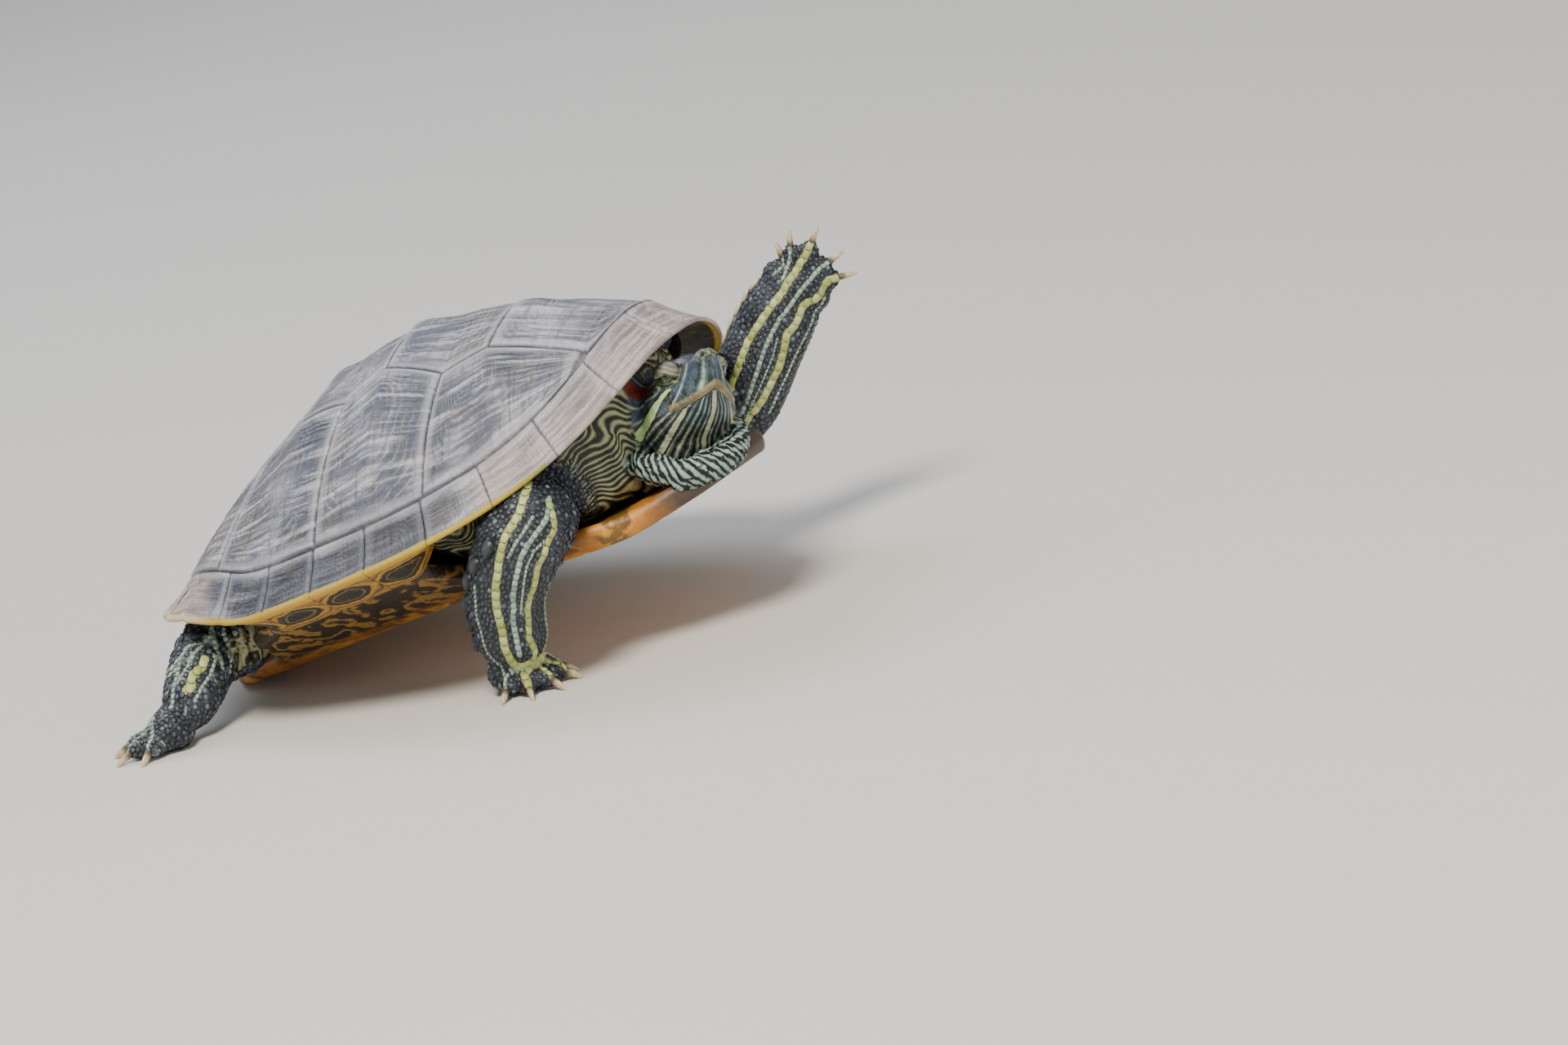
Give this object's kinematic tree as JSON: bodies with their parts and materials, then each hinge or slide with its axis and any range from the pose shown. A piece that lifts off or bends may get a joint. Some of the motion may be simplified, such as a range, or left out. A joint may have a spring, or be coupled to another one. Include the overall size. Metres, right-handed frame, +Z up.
{
  "type": "red-eared slider turtle",
  "caption": "Life-size still model of an adult pond turtle climbing with its nose up, one foreleg raised, head drawn in under a low domed shell.",
  "frame": {"origin": "centre of the footprint box, on the floor that the feet and the rear of the plastron rest on", "axes": "+X towards the head, +Y to the animal's left, +Z up; the body is pitched 13.5 degrees nose up"},
  "size_m": [0.2253, 0.2193, 0.1091],
  "materials": {
    "carapace": "worn keratin scutes, grey-brown with pale ridges and growth rings, satin",
    "plastron": "smooth keratin, yellow-orange with dark blotches, satin",
    "skin": "scaly skin, green-black with pale yellow-green stripes, slightly damp",
    "eye": "wet, glossy"
  },
  "bodies": {
    "root": {"nuchal": "carapace", "marginal_right_1": "carapace", "marginal_right_2": "carapace", "marginal_right_3": "carapace", "marginal_right_4": "carapace", "marginal_right_5": "carapace", "marginal_right_6": "carapace", "marginal_right_7": "carapace", "marginal_right_8": "carapace", "marginal_right_9": "carapace", "marginal_right_10": "carapace", "marginal_right_11": "carapace", "marginal_right_12": "carapace", "marginal_left_1": "carapace", "marginal_left_2": "carapace", "marginal_left_3": "carapace", "marginal_left_4": "carapace", "marginal_left_5": "carapace", "marginal_left_6": "carapace", "marginal_left_7": "carapace", "marginal_left_8": "carapace", "marginal_left_9": "carapace", "marginal_left_10": "carapace", "marginal_left_11": "carapace", "marginal_left_12": "carapace", "vertebral_1": "carapace", "vertebral_2": "carapace", "vertebral_3": "carapace", "vertebral_4": "carapace", "vertebral_5": "carapace", "costal_right_1": "carapace", "costal_right_2": "carapace", "costal_right_3": "carapace", "costal_right_4": "carapace", "costal_left_1": "carapace", "costal_left_2": "carapace", "costal_left_3": "carapace", "costal_left_4": "carapace", "plastron": "plastron", "trunk": "skin", "neck": "skin", "head": "skin", "eye_right": "eye", "eye_left": "eye", "foreleg_right": "skin", "foreleg_left": "skin", "forefoot_right": "skin", "forefoot_left": "skin", "hindleg_right": "skin", "hindleg_left": "skin", "hindfoot_right": "skin", "hindfoot_left": "skin", "tail": "skin"}
  },
  "joints": []
}
